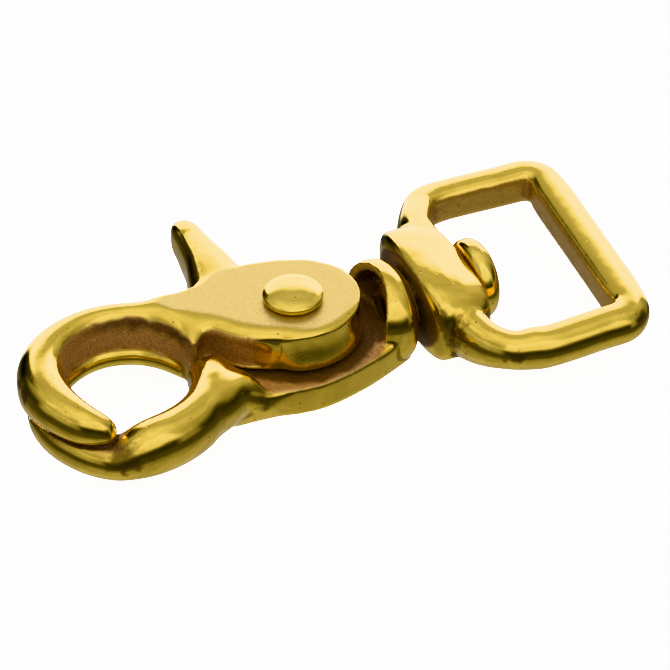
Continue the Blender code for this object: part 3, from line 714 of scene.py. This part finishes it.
def finish_body(made):
    """Raw in the recess, the cup and the lap, painted shade in these and on the hook's end, dark
    spots of old skin, and polished elsewhere.
    """
    points, normals, _ = mesh_arrays(made.data)
    x, y, z = points.T
    from_pivot = np.hypot(x, y)
    in_cup = np.hypot((y - SWIVEL_Y) / CUP_HALF[0], (z - SWIVEL_Z) / CUP_HALF[1])
    recess = ramp(from_pivot, 10.85, 10.55) * ramp(z, 3.55, 3.75)
    cup = ramp(in_cup, 1.06, 1.0) * ramp(x, 13.4, 13.1) * ramp(x, 7.6, 8.6)
    back = ramp(x, 13.1, 13.5) * ramp(normals[:, 0], 0.3, 0.7)
    hook_end = ramp(y, -2.75, -2.5) * ramp(x, -9, -10) * ramp(normals[:, 1], 0.3, 0.7)
    below = ramp(z, 1.4, 1.2) * ramp(from_pivot, 3.4, 3.2)
    lap_x, lap_y = x - RING[0], y - RING[1]
    lap = (ramp(np.hypot(lap_x, lap_y), 12.2, 11.4) * ramp(lap_y, -2, -4) * ramp(lap_x, -2, -4)
           * ramp(z, 5.9, 5.2) * ramp(normals[:, 2], 0.1, 0.6))
    raw = np.maximum.reduce([recess, cup, back * 0.8, hook_end, below, lap])
    edge = 0.5 * ripple(points, 1.2, 6)
    from_round_end = np.hypot(x - ROUND_END[0], y - ROUND_END[1])
    # Painted shadow on the recess floor under the trigger's edge, and painted shade in the recess's
    # corner by the collar
    shadow_under_trigger = recess * ramp(from_round_end + edge * 0.7, 9.9, 9.0)
    shadow = ramp(x, 6.5, 7.8) * recess * ramp(y + edge, -4.2, -2.8)
    # Painted shade in the cup, under the trigger, in the recess by the collar, under the jaw on the
    # lap and on the hook's end, with the dark spots of old skin
    dark_and_shade = np.maximum.reduce([cup * 0.95, shadow_under_trigger, shadow, lap * 0.9, hook_end * 0.6,
                              spots(points, BODY_SPOTS)])
    return weather(made, raw, dark_and_shade)


def finish_trigger(made):
    """Rubbed on top, raw on the inner wall and the flank, and polished elsewhere."""
    points, normals, _ = mesh_arrays(made.data)
    x, y, z = points.T
    upright = ramp(np.abs(normals[:, 2]), 0.75, 0.4)
    cove = (ramp(x, -12.8, -11.6) * ramp(x, -4.6, -7.0) * ramp(y, 0.5, -0.3)
            * ramp(z, 4.0, 4.9) * ramp(z, 8.3, 6.8) * upright)
    flare = ramp(x, -4.5, -2.0) * ramp(z, 7.8, 4.4) * ramp(y, 6.0, 2.0) * upright
    outside = ramp(np.hypot(x, y), 5.0, 6.0)
    carve(made.data, normals, (0.3 * flare - 0.45 * cove) * outside)
    points, normals, _ = mesh_arrays(made.data)
    x, y, z = points.T
    from_ring = np.hypot(x - RING[0], y - RING[1])
    around = np.degrees(np.arctan2(y - RING[1], x - RING[0]))
    edge = 0.35 * ripple(points, 1.3, 5)
    inner = (ramp(from_ring, 8.3, 7.9) * ramp(z + edge, 4.2, 4.5) * ramp(z + edge, 8.6, 7.9)
             * ramp(around, -25, 5) * ramp(around, 168, 140))
    flank = (ramp(x + edge, -5.6, -7.4) * ramp(x, -14.4, -13.4) * ramp(y, 1.2, 0.4)
             * ramp(z, 8.9, 8.3) * ramp(normals[:, 2], 0.75, 0.4))
    under = ramp(z, 4.35, 4.25) * ramp(normals[:, 2], -0.5, -0.8) * ramp(np.hypot(x, y), 11.5, 11.2)
    holes = ramp(np.hypot(x, y), 4.1, 3.9) * ramp(z, 9.1, 8.9)
    raw = np.maximum.reduce([inner, flank, under, holes])
    # Darker towards the top of the ring's inner wall, and painted shade on the upper flank under
    # the rolled rim
    shade_and_dark_top = inner * ramp(z + 1.6 * edge, 6.3, 7.9) * ramp(around, 150, 60)
    shade_and_dark_top = np.maximum(shade_and_dark_top, flank * ramp(x + 2 * edge, -9.5, -12.0) * ramp(z, 5.0, 6.5) * 0.6)
    dark_and_shade = np.maximum(shade_and_dark_top, spots(points, TRIGGER_SPOTS))
    rubbed = ramp(z, TOP_Z - 0.05, TOP_Z - 0.03) * ramp(normals[:, 2], 0.985, 0.998)
    return weather(made, raw, dark_and_shade, rubbed)


def finish_eye(made):
    """Raw with painted shade in front of the boss, half raw on the inner walls, and polished
    elsewhere.
    """
    points, normals, _ = mesh_arrays(made.data)
    x, y, z = points.T
    front = (ramp(x, 15.0, 14.6) * ramp(normals[:, 0], -0.5, -0.8)
             * ramp(np.hypot((y - SWIVEL_Y) / 7.6, (z - SWIVEL_Z) / 4.8), 1.05, 0.95))
    inside = (ramp(x, 20.5, 21.5) * ramp(x, 36.9, 36.6) * ramp(np.abs(y - SWIVEL_Y), 14.0, 13.7)
              * 0.55)
    raw = np.maximum(front * 0.8, inside * ramp(np.abs(normals[:, 2]), 0.7, 0.4))
    # Painted shade on the boss's front, in the gap by the collar, with the dark spots of old skin
    dark_and_shade = np.maximum(front * 0.95, spots(points, EYE_SPOTS))
    return weather(made, raw, dark_and_shade)


# ---------------------------------------------------------------- materials

class Nodes:
    """Adds linked nodes to a node tree."""

    def __init__(self, tree):
        self.tree = tree

    def add(self, kind, inputs=(), output=0, **settings):
        node = self.tree.nodes.new(kind)
        for name, value in settings.items():
            setattr(node, name, value)
        for name, value in dict(inputs).items():
            if isinstance(value, bpy.types.NodeSocket):
                self.tree.links.new(value, node.inputs[name])
            else:
                node.inputs[name].default_value = value
        return node.outputs[output]

    def math(self, operation, *values):
        return self.add("ShaderNodeMath", dict(enumerate(values)), operation=operation)

    def ramp(self, value, start, end, low=0.0, high=1.0):
        return self.add("ShaderNodeMapRange",
                        {"Value": value, "From Min": start, "From Max": end, "To Min": low,
                         "To Max": high}, interpolation_type="SMOOTHSTEP")

    def noise(self, vector, scale, detail=2.0, roughness=0.5):
        return self.add("ShaderNodeTexNoise", {"Vector": vector, "Scale": scale,
                                               "Detail": detail, "Roughness": roughness})

    def mix(self, factor, a, b):
        return self.add("ShaderNodeMix", {0: factor, 6: a, 7: b}, output=2, data_type="RGBA")


def group(name, inputs, outputs):
    """A new node group, with the nodes of its inputs and outputs."""
    tree = bpy.data.node_groups.new(name, "ShaderNodeTree")
    for socket, kind, default in inputs:
        made = tree.interface.new_socket(name=socket, in_out="INPUT", socket_type=kind)
        if default is not None:
            made.default_value = default
    for socket, kind in outputs:
        tree.interface.new_socket(name=socket, in_out="OUTPUT", socket_type=kind)
    return tree, tree.nodes.new("NodeGroupInput"), tree.nodes.new("NodeGroupOutput")


def make_skin_group():
    """The small unevenness of brass: stain, fine grain, pits and the swell of tumbling."""
    tree, start, end = group(
        "brass_skin", [("Vector", "NodeSocketVector", None), ("Grain", "NodeSocketFloat", 9000.0)],
        [(name, "NodeSocketFloat") for name in ("Stain", "Grain", "Pits", "Swell")])
    nodes = Nodes(tree)
    vector = start.outputs["Vector"]
    stain = nodes.ramp(nodes.noise(vector, 420.0, 4.0, 0.6), 0.45, 0.72)
    grain = nodes.noise(vector, start.outputs["Grain"], 3.0, 0.6)
    cells = nodes.add("ShaderNodeTexVoronoi", {"Vector": vector, "Scale": 1500.0}, output=0)
    patches = nodes.ramp(nodes.noise(vector, 700.0, 2.0), 0.56, 0.66)
    pits = nodes.math("MULTIPLY", nodes.ramp(cells, 0.26, 0.12), patches)
    swell = nodes.noise(vector, 900.0, 2.0, 0.5)
    for name, value in (("Stain", stain), ("Grain", grain), ("Pits", pits), ("Swell", swell)):
        tree.links.new(value, end.inputs[name])
    return tree


def skinned(name, skin):
    """A new metal, with its nodes, its shader's inputs and the outputs of its skin."""
    material = bpy.data.materials.new(name)
    material.use_nodes = True
    nodes = Nodes(material.node_tree)
    inputs = material.node_tree.nodes["Principled BSDF"].inputs
    inputs["Metallic"].default_value = 1
    place = nodes.add("ShaderNodeTexCoord", output="Object")
    made = material.node_tree.nodes.new("ShaderNodeGroup")
    made.node_tree = skin
    material.node_tree.links.new(place, made.inputs["Vector"])
    return material, nodes, inputs, made.outputs


def connect(material, inputs, sockets):
    """Links the sockets to the shader's inputs of the same names."""
    for name, value in sockets.items():
        material.node_tree.links.new(value, inputs[name])
    return material


def brass(name, skin, polished, worn):
    """Polished brass, with its raw, rubbed and hollow places where the piece has them."""
    material, nodes, inputs, outputs = skinned(name, skin)
    stain, grain, pits, swell = (outputs[n] for n in ("Stain", "Grain", "Pits", "Swell"))
    tarnish = (polished[0] * 0.62, polished[1] * 0.56, polished[2] * 0.5, 1)
    colour = nodes.mix(nodes.math("MULTIPLY", stain, 0.35), (*polished, 1), tarnish)
    rough = nodes.math("ADD", nodes.math("MULTIPLY", stain, 0.08), 0.1)
    height = nodes.math("ADD", nodes.math("MULTIPLY", swell, 0.4),
                        nodes.math("MULTIPLY", grain, 0.08))
    colour = nodes.mix(nodes.math("MULTIPLY", pits, 0.8), colour, (0.2, 0.1, 0.03, 1))
    height = nodes.math("SUBTRACT", height, nodes.math("MULTIPLY", pits, 0.5))
    if worn:
        raw, rubbed, hollow, dark_and_shade = (
            nodes.add("ShaderNodeAttribute", output="Fac", attribute_name=n)
            for n in ("raw", "rubbed", "hollow", "dark_and_shade"))
        # Tarnish in the creases
        crease = nodes.ramp(nodes.math("ADD", hollow, nodes.math("MULTIPLY", stain, 0.25)),
                            0.25, 0.8)
        colour = nodes.mix(nodes.math("MULTIPLY", crease, 0.7), colour, (0.24, 0.12, 0.03, 1))
        rough = nodes.math("ADD", rough, nodes.math("MULTIPLY", crease, 0.15))
        # Raw casting: red-brown skin with golden tips
        tips = nodes.ramp(grain, 0.46, 0.64)
        skin_colour = nodes.mix(tips, (0.47, 0.235, 0.105, 1), (0.86, 0.57, 0.22, 1))
        colour = nodes.mix(raw, colour, skin_colour)
        rough = nodes.add("ShaderNodeMix", {0: raw, 2: rough, 3: 0.42})
        height = nodes.math("ADD", height, nodes.math("MULTIPLY", nodes.math(
            "MULTIPLY", raw, grain), 3.0))
        # Grainy black-brown: old skin in the dark spots, and painted shade in the gaps, recesses
        # and under parts
        dark_by_grain = nodes.ramp(grain, 0.75, 0.55, 0.55, 0.95)
        colour = nodes.mix(nodes.math("MULTIPLY", dark_and_shade, dark_by_grain), colour, (0.09, 0.045, 0.018, 1))
        rough = nodes.add("ShaderNodeMix", {0: dark_and_shade, 2: rough, 3: 0.36})
        # Rubbed flat: pale and matt, with a fine grain
        matt = nodes.mix(nodes.ramp(grain, 0.36, 0.62), (0.43, 0.308, 0.095, 1),
                         (0.61, 0.455, 0.17, 1))
        colour = nodes.mix(rubbed, colour, matt)
        rough = nodes.add("ShaderNodeMix", {0: rubbed, 2: rough, 3: 0.4})
        height = nodes.math("ADD", height, nodes.math("MULTIPLY", nodes.math(
            "MULTIPLY", rubbed, grain), 0.6))
        metal = nodes.math("SUBTRACT", 1.0, nodes.math("MULTIPLY", raw, 0.45))
        connect(material, inputs, {"Metallic": metal})
    bump = nodes.add("ShaderNodeBump", {"Height": height, "Strength": 1.0, "Distance": 0.00002})
    return connect(material, inputs,
                   {"Base Color": colour, "Roughness": rough, "Normal": bump})


def steel(name, skin):
    """Spring wire, a little stained."""
    material, nodes, inputs, outputs = skinned(name, skin)
    stain, grain = outputs["Stain"], outputs["Grain"]
    colour = nodes.mix(stain, (0.5, 0.49, 0.47, 1), (0.3, 0.26, 0.22, 1))
    rough = nodes.math("ADD", nodes.math("MULTIPLY", grain, 0.2), 0.25)
    bump = nodes.add("ShaderNodeBump", {"Height": grain, "Strength": 0.6, "Distance": 0.00001})
    return connect(material, inputs,
                   {"Base Color": colour, "Roughness": rough, "Normal": bump})


def settle(made, body, node, material, crisp=None):
    """Places a piece on its body, in the stead of the frame's own. Edges past crisp stay sharp."""
    made.data.transform(PLACE)
    made.data.materials.clear()
    made.data.materials.append(material)
    made.data.shade_smooth()
    if crisp:
        made.data.set_sharp_from_angle(angle=math.radians(crisp))
    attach(made, body)
    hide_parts(node)


CRISP_ANGLE = 40
skin = make_skin_group()
cast = brass("cast_brass", skin, (0.84, 0.60, 0.125), worn=True)
lathe = brass("turned_brass", skin, (0.85, 0.62, 0.14), worn=False)
wire = steel("spring_steel", skin)
settle(finish_body(make_body()), "snap", "body", cast)
settle(finish_trigger(make_trigger()), "trigger", "trigger", cast)
settle(make_rivet(), "snap", "pivot_rivet", lathe, CRISP_ANGLE)
settle(make_spring(), "snap", "trigger_spring", wire, CRISP_ANGLE)
settle(make_pin(), "snap", "swivel_pin", lathe, CRISP_ANGLE)
settle(finish_eye(make_eye()), "eye", "swivel_eye", cast)


# ---------------------------------------------------------------- stage

# How bright the room is at each height, in degrees from the horizon
ROOM = ((-90, 0.6), (-65, 0.58), (-45, 0.5), (-34, 0.32), (-24, 0.09), (8, 0.03), (17, 0.12),
        (27, 0.37), (37, 0.52), (50, 0.64), (65, 0.9), (90, 1.15))
# Soft boxes: middle and half width across, middle and half height, blur, brightness added.
# Degrees across are from the back, clockwise seen from above.
BOXES = ((27, 30, 8, 28, 5, 3.4), (185, 45, 47, 24, 8, 0.66), (-97, 28, 14, 17, 9, 0.5),
         (-70, 22, 52, 11, 9, 0.35), (60, 22, 15, 25, 12, 0.35), (135, 7, 15, 18, 7, 0.3))
# A dark flag beside the back light, placed in the same way, and the share of light it takes
FLAG = (-17, 10, 12, 27, 5)
FLAG_SHARE = 0.88


def in_window(nodes, azimuth_parts, height, across, half_across, up, half_up, blur):
    """1 inside this part of the room and 0 outside it."""
    x, y = azimuth_parts
    angle = math.radians(across)
    facing = nodes.math("ADD", nodes.math("MULTIPLY", x, math.sin(angle)),
                        nodes.math("MULTIPLY", y, math.cos(angle)))
    level = nodes.ramp(facing, math.cos(math.radians(half_across + blur)),
                       math.cos(math.radians(max(half_across - blur, 0.5))))
    above = nodes.ramp(height, math.radians(up - half_up - blur),
                       math.radians(up - half_up + blur))
    under = nodes.ramp(height, math.radians(up + half_up + blur),
                       math.radians(up + half_up - blur))
    return nodes.math("MULTIPLY", level, nodes.math("MULTIPLY", above, under))


def make_room():
    """The studio's light: brighter overhead, with soft boxes, a dark flag and faint clutter."""
    world = bpy.data.worlds.new("studio")
    bpy.context.scene.world = world
    world.use_nodes = True
    nodes = Nodes(world.node_tree)
    direction = nodes.add("ShaderNodeTexCoord", output="Generated")
    split = world.node_tree.nodes.new("ShaderNodeSeparateXYZ")
    world.node_tree.links.new(direction, split.inputs[0])
    x, y, z = split.outputs
    height = nodes.math("ARCSINE", z)
    flat = nodes.math("MAXIMUM", nodes.math("SQRT", nodes.math("SUBTRACT", 1.0, nodes.math(
        "MULTIPLY", z, z))), 0.001)
    parts = nodes.math("DIVIDE", x, flat), nodes.math("DIVIDE", y, flat)
    steps = world.node_tree.nodes.new("ShaderNodeValToRGB")
    steps.color_ramp.interpolation = "EASE"
    world.node_tree.links.new(
        nodes.math("ADD", nodes.math("DIVIDE", height, math.pi), 0.5), steps.inputs["Fac"])
    stops = steps.color_ramp.elements
    while len(stops) < len(ROOM):
        stops.new(0.5)
    for stop, (degrees, _) in zip(stops, ROOM):
        stop.position = degrees / 180 + 0.5
    for stop, (_, grey) in zip(stops, ROOM):
        stop.color = (grey, grey, grey, 1)
    light = steps.outputs["Color"]
    for across, half_across, up, half_up, blur, add in BOXES:
        box = in_window(nodes, parts, height, across, half_across, up, half_up, blur)
        light = nodes.math("ADD", light, nodes.math("MULTIPLY", box, add))
    flag = in_window(nodes, parts, height, *FLAG)
    light = nodes.math("MULTIPLY", light, nodes.math("SUBTRACT", 1.0, nodes.math(
        "MULTIPLY", flag, FLAG_SHARE)))
    clutter = nodes.ramp(nodes.noise(direction, 3.5, 3.0), 0.3, 0.7, 0.84, 1.14)
    light = nodes.math("MULTIPLY", light, clutter)
    world.node_tree.links.new(light, world.node_tree.nodes["Background"].inputs["Color"])


def make_floor():
    """Pale paper that shows behind the snap, and doesn't light it."""
    sheet = bmesh.new()
    bmesh.ops.create_grid(sheet, x_segments=1, y_segments=1, size=3)
    floor = piece("floor", sheet)
    paper = bpy.data.materials.new("paper")
    paper.use_nodes = True
    shader = paper.node_tree.nodes["Principled BSDF"]
    shader.inputs["Base Color"].default_value = (0.9, 0.9, 0.9, 1)
    shader.inputs["Emission Color"].default_value = (1, 1, 1, 1)
    shader.inputs["Emission Strength"].default_value = 4.0
    floor.data.materials.append(paper)
    floor.visible_glossy = False
    floor.visible_diffuse = False


# What the camera looks at, from where, in degrees and metres, and its lens
AIM = (3.618, -3.637, 5.175)
CAMERA_TURN, CAMERA_RISE = -24.5, 39
CAMERA_AWAY = 0.495
SENSOR_WIDTH = 36
LENS_WIDTHS = 4320 / 670


def make_camera():
    """The camera, above the snap's near side."""
    camera = bpy.data.objects.new("camera", bpy.data.cameras.new("camera"))
    bpy.context.scene.collection.objects.link(camera)
    bpy.context.scene.camera = camera
    turn, rise = math.radians(CAMERA_TURN), math.radians(CAMERA_RISE)
    forward = Vector((-math.sin(turn) * math.cos(rise), math.cos(turn) * math.cos(rise),
                      -math.sin(rise)))
    camera.location = PLACE @ Vector(AIM) - forward * CAMERA_AWAY
    camera.rotation_euler = forward.to_track_quat("-Z", "Y").to_euler()
    camera.data.sensor_width = SENSOR_WIDTH
    camera.data.lens = SENSOR_WIDTH * LENS_WIDTHS
    camera.data.clip_start = 0.01


make_room()
make_floor()
make_camera()
bpy.context.scene.view_settings.view_transform = "Khronos PBR Neutral"
